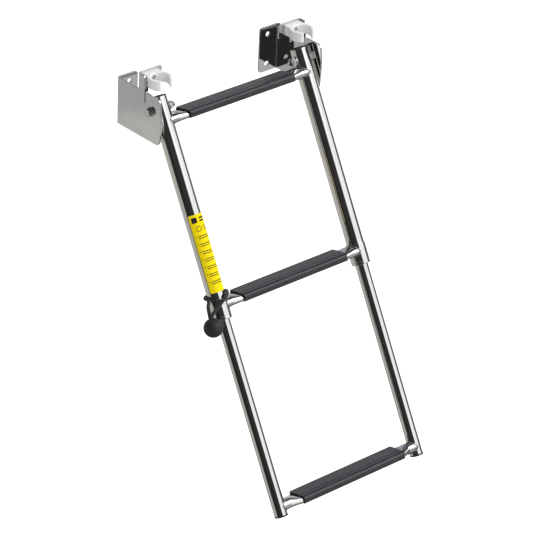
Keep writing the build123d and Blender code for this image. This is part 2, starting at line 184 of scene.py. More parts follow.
def rounded(corners, closed=True, steps=4, support=0.35):
    """Polyline whose corners (x, y, radius) become arcs with short support edges beside them."""
    pts = [np.array(c[:2], float) for c in corners]
    n = len(pts)
    cut, half = [0.0] * n, [0.0] * n
    for i, corner in enumerate(corners):
        if corner[2] <= 0 or (not closed and i in (0, n - 1)):
            continue
        a, b = pts[i - 1] - pts[i], pts[(i + 1) % n] - pts[i]
        cosine = a @ b / (np.linalg.norm(a) * np.linalg.norm(b))
        half[i] = math.acos(max(-1.0, min(1.0, cosine))) / 2
        if half[i] < math.pi / 2 - 1e-4:
            cut[i] = corner[2] / math.tan(half[i])
    out = []
    for i, corner in enumerate(corners):
        p = pts[i]
        if cut[i] <= 0:
            out.append(p)
            continue
        ends = []
        for j in ((i - 1) % n, (i + 1) % n):
            way = pts[j] - p
            length = np.linalg.norm(way)
            way = way / length
            spare = length - cut[i] - cut[j]
            ends.append((p + way * cut[i], way, min(support, 0.3 * spare)))
        (start, u, lead), (end, w, tail) = ends
        centre = p + (u + w) / np.linalg.norm(u + w) * corner[2] / math.sin(half[i])
        if lead > 0.01:
            out.append(start + u * lead)
        a0 = math.atan2(*(start - centre)[::-1])
        a1 = math.atan2(*(end - centre)[::-1])
        turn = (a1 - a0 + math.pi) % (2 * math.pi) - math.pi
        for k in range(steps + 1):
            a = a0 + turn * k / steps
            out.append(centre + corner[2] * np.array((math.cos(a), math.sin(a))))
        if tail > 0.01:
            out.append(end + w * tail)
    return np.array(out)


def turned_rings(profile, count=96):
    """Rings of points about Z, one for each (radius, height) of the profile."""
    angles = np.arange(count) * 2 * math.pi / count
    ring = np.c_[np.cos(angles), np.sin(angles)]
    return [np.c_[ring * r, np.full(count, h)] for r, h in profile]


def lathe(profile, segments, closed=False):
    """Solid turned about Z from a profile of (radius, height) points."""
    return grid(turned_rings(profile, segments), wrap_rings=closed)


def turned(corners, segments, closed=False):
    """Solid turned about Z from a profile whose corners (radius, height, rounding) are rounded."""
    return lathe(rounded(corners, closed), segments, closed)


def sleeve(outer, inner, low, high, soft):
    """Plain ring about Z whose outer edges are rounded by soft."""
    corners = [(outer, low, soft), (outer, high, soft), (inner, high, 0.15), (inner, low, 0.15)]
    return turned(corners, 64, True)


def rod(radius, low, high, segments=48):
    """Plain bar about Z, used for cutting holes."""
    return lathe([(0, low), (radius, low), (radius, high), (0, high)], segments)


def rectangle(left, low, right, high, r=0.0):
    """Corners of a rectangle, counter-clockwise, each to be rounded by r."""
    return [(left, low, r), (right, low, r), (right, high, r), (left, high, r)]


def arc(cx, cy, r, start, end, steps):
    """Points on an arc, with its angles in degrees."""
    angles = np.radians(np.linspace(start, end, steps + 1))
    return [(cx + r * math.cos(a), cy + r * math.sin(a)) for a in angles]


def circle(cx, cy, r, steps=48):
    """A hole's loop, wound clockwise."""
    return np.array(arc(cx, cy, r, 360, 0, steps)[:-1])


def unit_rows(v):
    """Rows of v scaled to length one."""
    return v / np.linalg.norm(v, axis=1)[:, None]


def inset(loop, depth):
    """A closed loop moved sideways into the material on its left."""
    p = np.asarray(loop, float)
    e1 = unit_rows(p - np.roll(p, 1, 0))
    e2 = unit_rows(np.roll(p, -1, 0) - p)
    n1 = np.c_[-e1[:, 1], e1[:, 0]]
    n2 = np.c_[-e2[:, 1], e2[:, 0]]
    return p + depth * (n1 + n2) / (1 + (n1 * n2).sum(1))[:, None]


def slab(outline, holes, levels):
    """Flat plate with loops at each (inset, height) level and both faces filled."""
    shape = Shape()
    loops = [np.asarray(outline, float)] + [np.asarray(h, float) for h in holes]
    for loop in loops:
        rings = [np.c_[inset(loop, i), np.full(len(loop), h)] for i, h in levels]
        part = grid(rings)
        part.uvs = [[(part.verts[k][0] * MM, part.verts[k][1] * MM) for k in f] for f in part.faces]
        shape.join(part)
    for i, h in (levels[0], levels[-1]):
        rims = [inset(loop, i) for loop in loops]
        tris = tessellate_polygon([[Vector((x, y, 0)) for x, y in rim] for rim in rims])
        flat = np.concatenate(rims)
        verts = np.c_[flat, np.full(len(flat), h)]
        shape.add(verts, tris, [[tuple(flat[k] * MM) for k in t] for t in tris])
    return shape


def edge_levels(low, high, radius, steps, support):
    """Slab levels for a plate from low to high with rounded rims."""
    rise = [(radius * (1 - math.sin(a)), radius * (1 - math.cos(a)))
            for a in np.linspace(0, math.pi / 2, steps + 1)]
    levels = [(radius + support, low)]
    levels += [(i, low + h) for i, h in rise]
    if high - low > 2 * radius + 0.3:
        levels += [(0.0, low + radius + 0.12), (0.0, high - radius - 0.12)]
    levels += [(i, high - h) for i, h in reversed(rise)]
    levels.append((radius + support, high))
    return levels


def add_object(name, data):
    obj = bpy.data.objects.new(name, data)
    SCENE.collection.objects.link(obj)
    return obj


def make(name, shape, matrix, body=None, slot=None, replaced=(), material=None,
         cuts=(), warp=None, sharp=38.0):
    """Turns a shape into a mesh piece that rides on a body. cuts are (axis, place) planes."""
    bm = bmesh.new()
    uv_layer = bm.loops.layers.uv.new("UVMap")
    verts = [bm.verts.new(v) for v in shape.verts]
    for face, uvs in zip(shape.faces, shape.uvs):
        made = bm.faces.new([verts[i] for i in face])
        for loop, uv in zip(made.loops, uvs):
            loop[uv_layer].uv = uv
    bmesh.ops.remove_doubles(bm, verts=bm.verts, dist=0.002)
    for axis, place in cuts:
        normal = Vector(np.eye(3)[axis])
        geometry = bm.verts[:] + bm.edges[:] + bm.faces[:]
        bmesh.ops.bisect_plane(bm, geom=geometry, dist=0.0005, plane_co=normal * place, plane_no=normal)
    bm.verts.ensure_lookup_table()
    co = np.array([v.co for v in bm.verts])
    if warp is not None:
        co = warp(co)
    m = np.array(matrix)
    co = (co * MM) @ m[:3, :3].T + m[:3, 3]
    for v, p in zip(bm.verts, co):
        v.co = p
    bm.normal_update()
    bmesh.ops.recalc_face_normals(bm, faces=bm.faces)
    mesh = bpy.data.meshes.new(name)
    bm.to_mesh(mesh)
    bm.free()
    obj = add_object(name, mesh)
    shade(obj, sharp)
    if material or slot:
        mesh.materials.append(material or SLOT_MATERIALS[slot])
    if body:
        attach(obj, body)
    if replaced:
        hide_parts(*replaced)
    return obj


def shade(obj, sharp):
    """Smooth shading that breaks at edges steeper than sharp degrees."""
    obj.data.shade_smooth()
    obj.data.set_sharp_from_angle(angle=math.radians(sharp))


def carve(obj, cutter_shape, matrix, sharp=38.0, operation="DIFFERENCE"):
    """Cuts a shape out of a piece, or joins one on with UNION."""
    cutter = make("cutter", cutter_shape, matrix)
    mod = obj.modifiers.new("carve", "BOOLEAN")
    mod.operation = operation
    mod.solver = "EXACT"
    mod.object = cutter
    dg = bpy.context.evaluated_depsgraph_get()
    mesh = bpy.data.meshes.new_from_object(obj.evaluated_get(dg))
    obj.modifiers.clear()
    obj.data = mesh
    bpy.data.objects.remove(cutter)
    shade(obj, sharp)


# materials


class Nodes:
    """Short calls for building a node tree."""

    def __init__(self, tree):
        self.tree = tree

    def new(self, kind, **settings):
        node = self.tree.nodes.new(kind)
        for key, value in settings.items():
            setattr(node, key, value)
        return node

    def link(self, a, b):
        self.tree.links.new(a, b)

    def put(self, value, socket):
        if isinstance(value, bpy.types.NodeSocket):
            self.link(value, socket)
        else:
            socket.default_value = value

    def fill(self, node, **values):
        for key, value in values.items():
            self.put(value, node.inputs[key])

    def math(self, operation, a, b=0.0, c=0.0):
        node = self.new("ShaderNodeMath", operation=operation)
        for value, socket in zip((a, b, c), node.inputs):
            self.put(value, socket)
        return node.outputs[0]

    def coords(self, kind, scale=(1, 1, 1)):
        source = self.new("ShaderNodeTexCoord").outputs[kind]
        node = self.new("ShaderNodeMapping")
        self.fill(node, Vector=source, Scale=scale)
        return node.outputs[0]

    def noise(self, where, scale, detail=3.0, rough=0.5):
        node = self.new("ShaderNodeTexNoise")
        self.fill(node, Vector=where, Scale=scale, Detail=detail, Roughness=rough)
        return node.outputs["Fac"]

    def range(self, value, low, high, out_low, out_high):
        node = self.new("ShaderNodeMapRange", interpolation_type="SMOOTHSTEP")
        for number, socket in zip((value, low, high, out_low, out_high), node.inputs):
            self.put(number, socket)
        return node.outputs[0]

    def mix(self, factor, a, b):
        node = self.new("ShaderNodeMix", data_type="RGBA")
        self.put(factor, node.inputs[0])
        self.put(a if isinstance(a, bpy.types.NodeSocket) else (*a, 1), node.inputs[6])
        self.put(b if isinstance(b, bpy.types.NodeSocket) else (*b, 1), node.inputs[7])
        return node.outputs[2]

    def ramp(self, factor, stops):
        node = self.new("ShaderNodeValToRGB")
        self.put(factor, node.inputs[0])
        ramp = node.color_ramp
        while len(ramp.elements) < len(stops):
            ramp.elements.new(0.5)
        for element, (place, colour) in zip(ramp.elements, sorted(stops)):
            element.position = place
            element.color = (*colour, 1)
        return node.outputs[0]

    def bump(self, height, distance, strength=1.0):
        node = self.new("ShaderNodeBump")
        self.fill(node, Height=height, Distance=distance, Strength=strength)
        return node.outputs[0]


def surface(name):
    """A new node material, its nodes and a function that fills its shader's inputs."""
    material = bpy.data.materials.new(name)
    material.use_nodes = True
    n = Nodes(material.node_tree)
    inputs = material.node_tree.nodes["Principled BSDF"].inputs
    return material, n, lambda key, value: n.put(value, inputs[key])


def steel(name, colour, rough, grain, depth):
    """Polished stainless with faint polishing lines and smudges."""
    material, n, fill = surface(name)
    lines = n.noise(n.coords("UV", (grain, grain / 60, 1)), 1.0, 4.0, 0.6)
    smudge = n.noise(n.coords("Object"), 22.0, 4.0, 0.55)
    dull = tuple(c * 0.93 for c in colour)
    fill("Base Color", n.mix(n.range(smudge, 0.35, 0.7, 0, 1), colour, dull))
    fill("Metallic", 1.0)
    mixed = n.math("MULTIPLY_ADD", lines, 0.3, n.math("MULTIPLY", smudge, 0.7))
    fill("Roughness", n.range(mixed, 0.3, 0.75, *rough))
    fill("Normal", n.bump(lines, depth, 0.6))
    return material


def plastic(name, colour, second, rough, grain, depth, soft=0.0):
    """Moulded plastic with fine grain and slight unevenness."""
    material, n, fill = surface(name)
    fine = n.noise(n.coords("Object"), grain, 4.0, 0.65)
    broad = n.noise(n.coords("Object"), 35.0, 3.0, 0.5)
    fill("Base Color", n.mix(n.range(broad, 0.3, 0.7, 0, 1), colour, second))
    fill("Roughness", n.range(broad, 0.3, 0.7, *rough))
    fill("Normal", n.bump(fine, depth, 0.8))
    if soft:
        fill("Subsurface Weight", soft)
        fill("Subsurface Radius", (0.0035, 0.003, 0.0028))
        fill("Subsurface Scale", 1.0)
    return material


def weld_metal():
    """Weld bead with straw and blue heat tint."""
    material, n, fill = surface("weld_metal")
    where = n.noise(n.coords("Object"), 90.0, 3.0)
    tint = n.ramp(where, [
        (0.30, (0.66, 0.64, 0.62)), (0.48, (0.70, 0.58, 0.44)),
        (0.60, (0.50, 0.47, 0.50)), (0.75, (0.66, 0.66, 0.66)),
    ])
    fill("Base Color", tint)
    fill("Metallic", 1.0)
    fine = n.noise(n.coords("Object"), 900.0, 3.0)
    fill("Roughness", n.range(fine, 0.3, 0.7, 0.22, 0.36))
    fill("Normal", n.bump(fine, 0.00008, 0.6))
    return material


def film(name, colour, edge_colour, rough):
    """Printed label film: gloss with faint mottling."""
    material, n, fill = surface(name)
    mottle = n.noise(n.coords("UV"), 160.0, 3.0)
    fine = n.noise(n.coords("Object"), 2600.0, 2.0)
    fill("Base Color", n.mix(n.range(mottle, 0.25, 0.75, 0, 1), colour, edge_colour))
    fill("Roughness", n.range(mottle, 0.3, 0.7, rough, rough + 0.12))
    fill("Specular IOR Level", 0.06)
    fill("Normal", n.bump(fine, 0.00002, 0.5))
    return material


def cord_fabric():
    """Braided sheath: dark yarn with lighter crowns."""
    material, n, fill = surface("shock_cord_braid")
    yarn = n.noise(n.coords("UV", (900, 5200, 1)), 1.0, 3.0, 0.6)
    worn = n.noise(n.coords("Object"), 120.0, 3.0)
    base = n.mix(n.range(yarn, 0.35, 0.7, 0, 1), (0.012, 0.012, 0.013), (0.042, 0.042, 0.045))
    fill("Base Color", n.mix(n.range(worn, 0.5, 0.8, 0, 0.5), base, (0.06, 0.06, 0.062)))
    fill("Roughness", 0.72)
    fill("Sheen Weight", 0.12)
    fill("Normal", n.bump(yarn, 0.00012, 0.8))
    return material


SLOT_MATERIALS = {
    "polished_tube": steel("polished_tube_steel", (0.80, 0.79, 0.77), (0.035, 0.085), 2600.0, 0.000004),
    "polished_sheet": steel("polished_sheet_steel", (0.77, 0.77, 0.765), (0.02, 0.045), 1900.0, 0.000003),
    "steel_fastener": steel("fastener_steel", (0.80, 0.79, 0.78), (0.20, 0.32), 2200.0, 0.00001),
}
WELD = weld_metal()
for slot, name, colour, second, *grain in (
    ("white_nylon", "white_nylon_moulding", (0.90, 0.90, 0.91), (0.86, 0.86, 0.87),
     (0.32, 0.42), 1500, 0.00003, 0.12),
    ("natural_nylon", "natural_nylon_bush", (0.74, 0.73, 0.69), (0.70, 0.69, 0.64),
     (0.35, 0.5), 1500, 0.00003, 0.08),
    ("tread_plastic", "tread_plastic_satin", (0.022, 0.023, 0.026), (0.032, 0.033, 0.037),
     (0.25, 0.33), 2400, 0.00004),
    ("cap_plastic", "cap_plastic_black", (0.016, 0.016, 0.017), (0.026, 0.026, 0.027),
     (0.34, 0.48), 1900, 0.00004),
    ("ball_plastic", "ball_plastic_matte", (0.013, 0.013, 0.014), (0.020, 0.020, 0.021),
     (0.40, 0.52), 2600, 0.00006),
):
    SLOT_MATERIALS[slot] = plastic(name, colour, second, *grain)
SLOT_MATERIALS["label_film"] = film("label_film_yellow", (0.93, 0.75, 0.006), (0.87, 0.68, 0.004), 0.30)
LABEL_INK = film("label_ink_black", (0.014, 0.014, 0.015), (0.03, 0.03, 0.03), 0.34)
SLOT_MATERIALS["shock_cord"] = cord_fabric()


# side tubes, collars, caps


def tube_shape(outer, low, high, rings=()):
    """Open tube with softly broken ends; rings adds loops at given heights."""
    inner = outer - WALL
    up = [(outer, h, 0.0) for h in rings]
    down = [(inner, h, 0.0) for h in reversed(rings)]
    corners = [(outer, low, 0.45)] + up + [(outer, high, 0.45), (inner, high, 0.3)]
    corners += down + [(inner, low, 0.3)]
    return turned(corners, 96, True)

SIDES = ((-1, "left"), (1, "right"))


def build_side_tubes():
    for side, name in SIDES:

        def place(piece, body, shape):
            node = piece + "_" + name
            at_side = shape.shifted(x=side * HALF)
            return make(node + "_skin", at_side, LADDER, body, "polished_tube", [node])

        upper = place("upper_tube", "upper_frame", tube_shape(UPPER_R, UP_LO[2], UP_HI[2], (-9.0, 9.0)))
        carve(upper, rod(BUSH_HOLE_R, -30, 30).moved(along_x).shifted(x=side * HALF), LADDER)
        place("lower_tube", "lower_frame", tube_shape(LOWER_R, LOW_LO[2], LOW_HI[2]))
        low, high = COL_LO[2], COL_HI[2]
        seat = UP_LO[2] - FACE_GAP
        neck = LOWER_R + 0.4
        groove = COLLAR_R - 0.22
        corners = [
            (COLLAR_R, high, 0.5), (UPPER_R + FACE_GAP, high, 0.12), (UPPER_R + FACE_GAP, seat, 0.2),
            (neck, seat, 0.25), (neck, low, 0.5), (COLLAR_R, low, 1.2), (COLLAR_R, low + 4.2, 0.25),
            (groove, low + 4.6, 0.15), (groove, low + 5.2, 0.15), (COLLAR_R, low + 5.6, 0.25),
        ]
        place("collar", "upper_frame", turned(corners, 96, True))


def build_caps():
    top, brow = UP_HI[2], UP_HI[2] + 1.8
    rim, bore = UPPER_R - 0.3, UPPER_R - WALL - FACE_GAP
    corners = [
        (0, brow, 0), (4.2, brow, 0.4), (4.8, top + 1.45, 0.4), (6.4, top + 1.45, 0.4),
        (7.0, brow, 0.4), (rim, brow, 1.0), (rim, top + FACE_GAP, 0.15), (bore, top + FACE_GAP, 0.05),
        (bore, top - 10, 0.5), (bore - 2, top - 10, 0.3), (bore - 2, top - 1, 0.3), (0, top - 1, 0),
    ]
    plug = turned(corners, 64).shifted(x=HALF)
    make("upper_tube_plugs", plug.both(), LADDER, "upper_frame", "cap_plastic", ["upper_tube_caps"])
    end, sole = LOW_LO[2], LOW_LO[2] - 2.5
    rim, bore = LOWER_R + 0.5, LOWER_R - WALL - FACE_GAP
    corners = [
        (0, end - 1.9, 0), (3.0, end - 1.9, 0.5), (3.6, sole, 0.5), (rim, sole, 1.6),
        (rim, end - FACE_GAP, 0.2), (bore, end - FACE_GAP, 0.05), (bore, end + 14, 0.5),
        (bore - 2, end + 14, 0.3), (bore - 2, end + 1, 0.3), (0, end + 1, 0),
    ]
    foot = turned(corners, 64).shifted(x=HALF)
    make("foot_plugs", foot.both(), LADDER, "lower_frame", "cap_plastic", ["foot_caps"])


# rungs, welds, treads

# side tube radius, body, half the depth of the oval ends
RUNGS = {
    "top": (UPPER_R, "upper_frame", 15.0),
    "middle": (COLLAR_R, "upper_frame", 15.0),
    "bottom": (LOWER_R, "lower_frame", 11.0),
}
RUNG_END_T = 19.5
FLAT_HALF = 17.25
FLAT_T = 12.0
RUNG_FLAT_REACH = 110.0
RUNG_OVAL_REACH = 131.5


def even_loop(points, count):
    """count points spread evenly along a closed loop of points."""
    p = np.vstack([points, points[:1]])
    run = np.concatenate(([0.0], np.cumsum(np.linalg.norm(np.diff(p, axis=0), axis=1))))
    where = np.linspace(0, run[-1], count, endpoint=False)
    return np.stack([np.interp(where, run, column) for column in p.T], axis=1)


def oval(half, thickness, count=72):
    angles = np.linspace(0, 2 * math.pi, 720, endpoint=False)
    return even_loop(np.c_[half * np.cos(angles), thickness / 2 * np.sin(angles)], count)


def pressed(half, thickness, count=72):
    """Stadium section that starts at its +Y tip."""
    r = thickness / 2
    flat = half - r
    loop = arc(flat, 0, r, 0, 90, 60) + arc(-flat, 0, r, 90, 270, 120)
    return even_loop(np.array(loop + arc(flat, 0, r, 270, 360, 60)[:-1]), count)


def eased(t, ease):
    """Straight ramp from 0 to 1 with short eased ends."""
    if t < ease:
        return t * t / (2 * ease * (1 - ease))
    if t > 1 - ease:
        return 1 - (1 - t) ** 2 / (2 * ease * (1 - ease))
    return (t - ease / 2) / (1 - ease)


def to_side_tube(section, side_r):
    """Length along X from the centre to the side tube's skin, at each point of a rung section."""
    depth = section[:, 0] * math.cos(RUNG_TILT) - section[:, 1] * math.sin(RUNG_TILT)
    return HALF - np.sqrt(np.maximum(side_r ** 2 - depth ** 2, 0.0))


def rung_skin(inner, side_r, end_half):
    """Rings of a rung's skin from left end to right end, in the rung's tilted frame."""
    end_section = oval(end_half - inner, RUNG_END_T - 2 * inner)
    mid_section = pressed(FLAT_HALF - inner, FLAT_T - 2 * inner)
    reach = np.minimum(to_side_tube(end_section, side_r) + FACE_GAP, HALF - 2.0)
    right = [np.c_[np.full(72, x), mid_section] for x in (0.0, 40.0, 80.0, RUNG_FLAT_REACH - 3)]
    for t in np.linspace(0, 1, 22):
        x = RUNG_FLAT_REACH + t * (RUNG_OVAL_REACH - RUNG_FLAT_REACH)
        w = eased(t, 0.12)
        right.append(np.c_[np.full(72, x), mid_section * (1 - w) + end_section * w])
    for t in np.linspace(0.15, 1, 7):
        x = RUNG_OVAL_REACH + t * (reach - RUNG_OVAL_REACH)
        right.append(np.c_[x, end_section])
    left = [ring * np.array((-1, 1, 1)) for ring in reversed(right[1:])]
    return left + right


def weld_bead(side_r, end_half, radius):
    """Rippled bead where a rung meets a side tube, in the rung's tilted frame."""
    section = oval(end_half + 0.2, RUNG_END_T + 0.4, 240)
    path = np.c_[np.minimum(to_side_tube(section, side_r), HALF - 2.0) - 0.15, section]
    ahead = unit_rows(np.roll(path, -1, 0) - np.roll(path, 1, 0))
    out = unit_rows(np.c_[np.zeros(240), section])
    out = unit_rows(out - (out * ahead).sum(1)[:, None] * ahead)
    across = np.cross(ahead, out)
    rings = []
    for i in range(240):
        ripple = radius * (1 + 0.10 * abs(math.sin(i * math.pi / 5)) + 0.04 * math.sin(i * 0.37))
        angles = np.linspace(0, 2 * math.pi, 14, endpoint=False)
        way = np.cos(angles)[:, None] * out[i] + np.sin(angles)[:, None] * across[i]
        rings.append(path[i] + ripple * way)
    return grid(rings, wrap_rings=True)


def build_rungs():
    for name, (side_r, body, end_half) in RUNGS.items():
        where = rung_frame(name)
        outside, inside = (rung_skin(depth, side_r, end_half) for depth in (0.0, WALL))
        skin = grid(outside + inside[::-1], wrap_rings=True)
        make(name + "_rung_skin", skin, where, body, "polished_tube", [name + "_rung"], sharp=60)
        bead = weld_bead(side_r, end_half, 1.15)
        make(name + "_rung_welds", bead.both(), where, body, "polished_tube", material=WELD, sharp=80)


TREAD_TOP = 8.5
TREAD_RIBS = 9
RIB_PITCH = 2.6


def tread_section(lo, hi):
    """Tread cross-section as (forward, up) points, from the CAD tread's extents."""
    front, back = -lo[1], hi[1]
    top, low = TREAD_TOP, lo[2]
    under, inner = top - 2.4, front - 2.4
    corners = [
        (front, low + 7.0, 8.0), (front - 1.9, low, 0.6), (front - 4.2, low, 0.35),
        (front - 4.2, low + 1.4, 0.35), (inner, low + 2.4, 0.4), (inner, under, 3.4),
        (-back + 1.6, under, 0.5), (-back + 1.6, under - 2.8, 0.4), (-back, under - 2.8, 0.4),
        (-back, top, 1.3),
    ]
    start = -back + 2.4
    rib = ((0.45, 0, 0.12), (0.75, 0.5, 0.2), (1.85, 0.5, 0.2), (2.15, 0, 0.12))
    for i in range(TREAD_RIBS):
        corners += [(start + i * RIB_PITCH + u, top + h, r) for u, h, r in rib]
    groove = start + TREAD_RIBS * RIB_PITCH + 1.2
    dent = ((-1.5, 0, 0.2), (-1.3, -0.8, 0.2), (1.3, -0.8, 0.2), (1.5, 0, 0.3))
    corners += [(groove + u, top + h, r) for u, h, r in dent]
    corners.append((front, top, 6.0))
    return rounded(corners, steps=5, support=0.2), front, back


def tread_reach(f, half, front, back):
    """How far a tread runs along X at forward places f, with its plan corners rounded."""
    radius = 3.0
    past = np.maximum(np.maximum(f - front + radius, -f - back + radius), 0.0)
    return half - radius + np.sqrt(np.maximum(radius ** 2 - past ** 2, 0.0))


def build_treads():
    for name, (_, body, _) in RUNGS.items():
        where = rung_frame(name)
        lo, hi = span(name + "_tread", where)
        section, front, back = tread_section(lo, hi)
        half = hi[0]
        reach = tread_reach(section[:, 0], half, front, back)
        near_end = np.full(len(section), half - 3.5)
        rings = [np.c_[x, -section[:, 0], section[:, 1]] for x in (-reach, -near_end, near_end, reach)]
        shape = grid(rings)
        for ring in (rings[0], rings[-1]):
            tris = tessellate_polygon([[Vector((p[1], p[2], 0)) for p in ring]])
            shape.add(ring, tris, [[(ring[k][1] * MM, ring[k][2] * MM) for k in t] for t in tris])
        make(name + "_tread_strip", shape, where, body, "tread_plastic", [name + "_tread"], sharp=32)


# brackets

BR_LO, BR_HI = span("bracket_right", UPRIGHT)
SIDE_X = BR_HI[0]
PLATE_BACK = BR_HI[1]
SHEET = 3.0
BEND = 5.0
BEND_RUN = BEND * math.pi / 2
FLANGE_BEND = PLATE_BACK - BEND
TONGUE_BACK = 32.7
TONGUE_BEND = TONGUE_BACK - BEND
PLATE_TOP = 41.0 - HINGE.z / MM
PLATE_LOW = BR_LO[2]
CLIP_PLATE_LOW = 31.5
CLIP_TAB_FREE = 151.0
CLIP_TAB_LOW = 18.0
HINGE_HOLE_R = 4.1
BOLT_HOLE_R = 4.25
BOLT_X = 147.0
BOLT_Z = 27.0
SCREW_H = 46.5
SCREW_HOLE_R = 2.6


def clip_tab():
    """Tab that runs down from the clip plate beside its fold, in the upright hinge frame."""
    front, back = TONGUE_BACK - SHEET + 0.04, TONGUE_BACK - 0.04
    inner = SIDE_X - BEND
    plan = [(CLIP_TAB_FREE, back), (CLIP_TAB_FREE, front)]
    plan += arc(inner, TONGUE_BEND, BEND - SHEET + 0.04, 90, 0, 6)
    plan += [(SIDE_X - 1.2, TONGUE_BEND - 1.5), (SIDE_X - 1.2, TONGUE_BEND + 2.0)]
    plan += arc(inner, TONGUE_BEND, BEND - 0.04, 30, 90, 5)
    return slab(plan, [], edge_levels(CLIP_TAB_LOW, CLIP_PLATE_LOW + 1.5, 0.3, 2, 0.2))


def unfold(x, bend_start):
    """Place along the unfolded sheet of a point at |X| on a folded leg."""
    return bend_start + BEND_RUN + (SIDE_X - BEND - x)


def bracket_outline():
    """Outline of the unfolded bracket, counter-clockwise: u from front to back, v up."""
    top, low = PLATE_TOP, PLATE_LOW
    front = BR_LO[1] + 4.0
    bulge = 4.0
    flange_end = unfold(129.5, FLANGE_BEND)
    clip_end = unfold(BR_LO[0], TONGUE_BEND)
    tongue_top = BR_HI[2]
    middle, half = (top + low) / 2, (top - low) / 2
    radius = (half ** 2 + bulge ** 2) / (2 * bulge)
    front_edge = [(front - math.sqrt(radius ** 2 - (v - middle) ** 2) + (radius - bulge), v, 0.0)
                  for v in np.linspace(top - 13.0, low + 13.0, 11)]
    corners = [
        (front, low, 9.0), (flange_end, low, 7.0), (flange_end, top, 7.0),
        (29.5, top, 1.2), (29.5, CLIP_PLATE_LOW, 1.2), (clip_end, CLIP_PLATE_LOW, 2.0),
        (clip_end, tongue_top, 3.0), (14.5, tongue_top, 8.0), (14.5, 9.0, 1.05),
        (12.3, 9.0, 1.05), (12.3, top, 1.3), (front, top, 9.0),
    ]
    return rounded(corners + front_edge, steps=7, support=0.8)


def fold(points):
    """Bends the flat sheet round its two fold lines, in the upright hinge frame."""
    u, v, w = points[:, 0], points[:, 1], points[:, 2]

    def bent(start):
        theta = np.clip((u - start) / BEND, 0, math.pi / 2)
        past = np.maximum(u - start - BEND_RUN, 0)
        x = SIDE_X - BEND + (BEND + w) * np.cos(theta) - past
        y = np.minimum(u, start) + (BEND + w) * np.sin(theta)
        return x, y

    fx, fy = bent(FLANGE_BEND)
    tx, ty = bent(TONGUE_BEND)
    s = np.clip((v - PLATE_TOP) / (CLIP_PLATE_LOW - PLATE_TOP), 0, 1)
    return np.c_[fx * (1 - s) + tx * s, fy * (1 - s) + ty * s, v]


def build_brackets():
    holes = [circle(0, 0, HINGE_HOLE_R, 64)]
    for z in (-BOLT_Z, BOLT_Z):
        holes.append(circle(unfold(BOLT_X, FLANGE_BEND), z - HINGE.z / MM, BOLT_HOLE_R, 64))
    holes.append(circle(unfold(HALF, TONGUE_BEND), SCREW_H, SCREW_HOLE_R, 40))
    plate = slab(bracket_outline(), holes, edge_levels(-SHEET, 0.0, 0.45, 3, 0.35))
    cuts = []
    for start in (TONGUE_BEND, FLANGE_BEND):
        cuts += [(0, start + BEND_RUN * k / 12) for k in range(13)]
        cuts += [(0, start - 0.5), (0, start + BEND_RUN + 0.5)]
    cuts += [(1, PLATE_TOP), (1, (PLATE_TOP + CLIP_PLATE_LOW) / 2), (1, CLIP_PLATE_LOW)]
    for side, name in SIDES:
        node = "bracket_" + name
        turn = np.array((side, 1, 1))
        kind = (UPRIGHT, "brackets", "polished_sheet")
        make(node + "_sheet", plate, *kind, [node], cuts=cuts, sharp=50,
             warp=lambda p, t=turn: fold(p) * t)
        tab = clip_tab()
        make(node + "_tab", tab if side > 0 else tab.mirrored(), *kind, sharp=50)


# nylon clips and their screws

CLIP_LO, CLIP_HI = span("tube_clip_right", UPRIGHT)
STOW = math.radians(3.5)
CLIP_BACK = TONGUE_BACK - SHEET - FACE_GAP
HEAD_SEAT = CLIP_BACK - 8
HEAD_HOLE_R = 4.6


def clip_outline():
    """Plan of a clip: base block, C-shaped arms and rounded lips, counter-clockwise."""
    outer, bore = 20.3, 15.08
    low, high = CLIP_LO[2], CLIP_HI[2]
    cy = math.tan(STOW) * (low + high) / 2
    base = 16.2
    shoulder = math.degrees(math.acos(base / outer))
    lip_mid, lip_r = (outer + bore) / 2, (outer - bore) / 2
    lip = -50.0
    right = arc(0, cy, outer, shoulder - 3, lip, 40)
    (lip_x, lip_y), = arc(0, cy, lip_mid, lip, lip, 0)
    right += arc(lip_x, lip_y, lip_r, lip, lip - 180, 14)[1:-1]
    inner = arc(0, cy, bore, lip, 180 - lip, 110)
    left = [(-x, y) for x, y in reversed(right)]
    foot = [
        (-base, cy + outer * math.sin(math.radians(shoulder)) + 1.2), (-base, CLIP_BACK - 1.2),
        (-base + 0.35, CLIP_BACK - 0.35), (-base + 1.2, CLIP_BACK),
    ]
    foot += [(-x, y) for x, y in reversed(foot)]
    return np.array(right + inner + left + foot)[::-1]


def lean_clip(points):
    """Leans the bore with the stowed tube and keeps the base square on its plate."""
    middle = (CLIP_LO[2] + CLIP_HI[2]) / 2
    s = np.clip((CLIP_BACK - 2 - points[:, 1]) / 8, 0, 1)
    shift = (points[:, 2] - middle) * math.tan(STOW) * s * s * (3 - 2 * s)
    return points + np.c_[np.zeros(len(points)), shift, np.zeros(len(points))]


def screw_shape():
    """Pan head screw along Y, before its recess is cut."""
    corners = [
        (0, HEAD_SEAT - 2.6, 0), (4.3, HEAD_SEAT - 2.6, 1.2), (4.3, HEAD_SEAT, 0.15),
        (2.4, HEAD_SEAT, 0.1), (2.4, 38.0, 0.5), (0, 38.0, 0),
    ]
    corners = [(r, -y, soft) for r, y, soft in corners]
    return turned(corners, 48).moved(lambda p: np.c_[p[:, 0], -p[:, 2], p[:, 1]])


